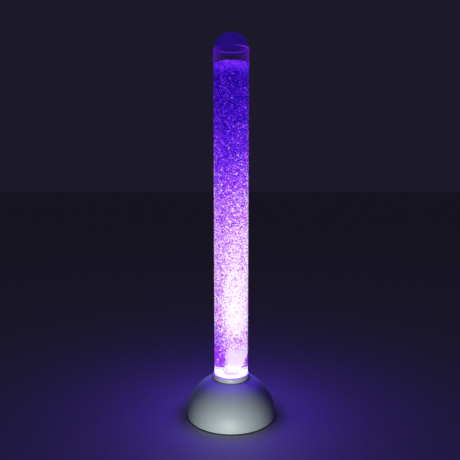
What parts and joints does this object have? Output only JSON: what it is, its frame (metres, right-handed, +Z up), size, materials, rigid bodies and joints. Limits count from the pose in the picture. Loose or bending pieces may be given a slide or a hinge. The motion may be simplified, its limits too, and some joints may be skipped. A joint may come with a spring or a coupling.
{
  "type": "led bubble tube lamp",
  "caption": "Floor-standing bubble tube lamp: a clear water column lit from below on a domed base that holds the air pump, with a lift-off dome cap.",
  "frame": {"origin": "on the surface that the feet stand on, on the axis of the water column", "axes": "+Z up along the column, -Y towards the front, +Y towards the recessed panel with the buttons and the inlet"},
  "size_m": [0.212, 0.212, 0.8889],
  "materials": {
    "shell_grey": "satin silver-grey moulded plastic",
    "collar_grey": "satin pale grey moulded plastic",
    "button_grey": "fine matt",
    "cover_black": "matt black moulded plastic",
    "pump_black": "matt black moulded plastic",
    "part_black": "semi-gloss black",
    "white_plastic": "natural white moulded plastic",
    "foot_rubber": "matt black rubber",
    "soft_rubber": "soft matt black rubber",
    "screw_steel": "zinc-plated steel",
    "tube_clear": "clear polished acrylic",
    "plug_clear": "clear acrylic, lit from below",
    "cap_clear": "clear acrylic, dim violet light inside",
    "lit_water": "water full of small bubbles, lit violet from below",
    "lit_swarm": "dense small bubbles, white at the foot and violet at the top, lit from below",
    "stone_porous": "porous, matt",
    "light_board": "white solder mask",
    "led_lens": "silicone over phosphor",
    "board_green": "green solder mask",
    "capacitor_sleeve": "dark blue sleeve",
    "core_steel": "varnished laminations",
    "coil_copper": "enamelled copper winding on a bobbin",
    "magnet_ferrite": "sintered ferrite",
    "hose_silicone": "translucent silicone",
    "lead_black": "matt insulation"
  },
  "bodies": {
    "base": {"base_shell": "shell_grey", "base_cover": "cover_black", "foot_1": "foot_rubber", "foot_2": "foot_rubber", "foot_3": "foot_rubber", "foot_4": "foot_rubber", "cover_screw_1": "screw_steel", "cover_screw_2": "screw_steel", "cover_screw_3": "screw_steel", "cover_screw_4": "screw_steel", "tube_collar": "collar_grey", "tube_socket": "white_plastic", "socket_screw_1": "screw_steel", "socket_screw_2": "screw_steel", "socket_screw_3": "screw_steel", "clear_tube": "tube_clear", "tube_plug": "plug_clear", "tube_seal": "soft_rubber", "air_stone": "stone_porous", "bubble_swarm": "lit_swarm", "water_column": "lit_water", "led_board": "light_board", "led_1": "led_lens", "led_2": "led_lens", "led_3": "led_lens", "led_4": "led_lens", "led_5": "led_lens", "led_6": "led_lens", "control_board": "board_green", "light_switch_case": "part_black", "bubble_switch_case": "part_black", "control_chip": "part_black", "filter_capacitor": "capacitor_sleeve", "dc_jack": "part_black", "jack_nut": "screw_steel", "pump_case": "pump_black", "pump_lid": "pump_black", "pump_core": "core_steel", "pump_coil": "coil_copper", "pivot_pin": "screw_steel", "pump_diaphragm": "soft_rubber", "valve_box": "white_plastic", "flap_valve": "soft_rubber", "pump_cushion_1": "soft_rubber", "pump_cushion_2": "soft_rubber", "pump_cushion_3": "soft_rubber", "pump_cushion_4": "soft_rubber", "lower_hose": "hose_silicone", "check_valve": "white_plastic", "upper_hose": "hose_silicone", "led_lead": "lead_black", "pump_lead": "lead_black"},
    "cap": {"top_cap": "cap_clear"},
    "light_key": {"light_button": "button_grey", "light_switch_plunger": "white_plastic"},
    "bubble_key": {"bubble_button": "button_grey", "bubble_switch_plunger": "white_plastic"},
    "rocker": {"pump_arm": "screw_steel", "pump_magnet": "magnet_ferrite"}
  },
  "joints": [
    {"name": "cap_lift", "type": "slide", "parent": "base", "child": "cap", "axis": [0, 0, 1], "range_m": [0, 0.06]},
    {"name": "light_button_press", "type": "slide", "parent": "base", "child": "light_key", "axis": [0, -1, 0], "range_m": [0, 0.001], "stiffness_N_per_m": 1500, "springref_m": -0.0006},
    {"name": "bubble_button_press", "type": "slide", "parent": "base", "child": "bubble_key", "axis": [0, -1, 0], "range_m": [0, 0.001], "stiffness_N_per_m": 1500, "springref_m": -0.0006},
    {"name": "pump_arm_rock", "type": "hinge", "parent": "base", "child": "rocker", "pos_m": [-0.0445, -0.026, 0.0254], "axis": [0, 0, 1], "range_deg": [-1.5, 1.5], "stiffness_Nm_per_rad": 0.5, "deforming": ["pump_diaphragm"]}
  ]
}
